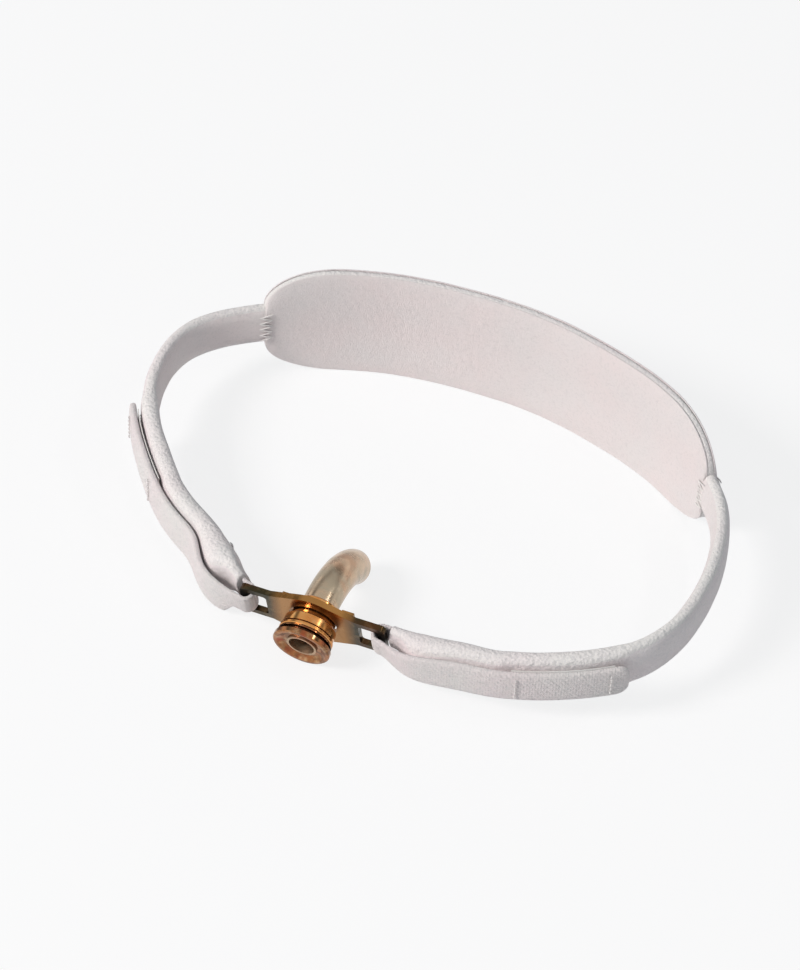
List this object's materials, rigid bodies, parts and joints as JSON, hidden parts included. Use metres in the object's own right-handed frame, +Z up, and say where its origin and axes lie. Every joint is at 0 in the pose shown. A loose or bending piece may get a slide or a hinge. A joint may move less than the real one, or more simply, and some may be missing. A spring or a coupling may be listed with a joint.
{
  "type": "tracheostomy tube with neck band",
  "caption": "Metal tracheostomy tube with a winged neck plate, held in a padded fabric neck band with hook tabs.",
  "frame": {"origin": "middle of the neck plate, on the axis of the inner tube's straight bore", "axes": "+X along the neck plate, -Y out of the front of the tube, +Z up from the surface that the band stands on"},
  "size_m": [0.1625, 0.1217, 0.033],
  "materials": {
    "cover_cloth": "brushed loop cloth, matt white",
    "lining_cloth": "soft napped lining, warm white",
    "foam": "open foam seen at the cut edges",
    "tape": "woven tape with napped face",
    "hook": "fine moulded hooks",
    "thread": "spun thread",
    "plate_metal": "polished, darkened in the recesses",
    "collar_metal": "polished copper-toned brass",
    "tube_metal": "satin bronze-grey"
  },
  "bodies": {
    "band": {"pad_core": "foam", "pad_lining": "lining_cloth", "pad_cover": "cover_cloth", "left_strap": "cover_cloth", "right_strap": "cover_cloth", "left_root_stitch": "thread", "right_root_stitch": "thread", "left_loop_tape": "tape", "right_loop_tape": "tape", "left_tape_stitch": "thread", "right_tape_stitch": "thread", "neck_plate": "plate_metal"},
    "tube": {"outer_tube": "tube_metal", "tube_collar": "collar_metal", "pivot_screws": "collar_metal"},
    "inner": {"inner_tube": "tube_metal", "inner_collar": "collar_metal"},
    "left_tab": {"left_tab": "tape", "left_hook_patch": "hook", "left_tab_stitch": "thread"},
    "right_tab": {"right_tab": "tape", "right_hook_patch": "hook", "right_tab_stitch": "thread"}
  },
  "joints": [
    {"name": "plate_swing", "type": "hinge", "parent": "band", "child": "tube", "pos_m": [0, 0.00181, 0.00059], "axis": [1, 0, 0], "range_deg": [-8, 8]},
    {"name": "inner_draw", "type": "hinge", "parent": "tube", "child": "inner", "pos_m": [0, 0.00887, -0.02341], "axis": [1, 0, 0], "range_deg": [0, 60]},
    {"name": "left_peel", "type": "hinge", "parent": "band", "child": "left_tab", "pos_m": [-0.0183, -0.0039, 0], "axis": [0, 0, 1], "range_deg": [0, 60]},
    {"name": "right_peel", "type": "hinge", "parent": "band", "child": "right_tab", "pos_m": [0.0183, -0.0039, 0], "axis": [0, 0, -1], "range_deg": [0, 60]}
  ]
}
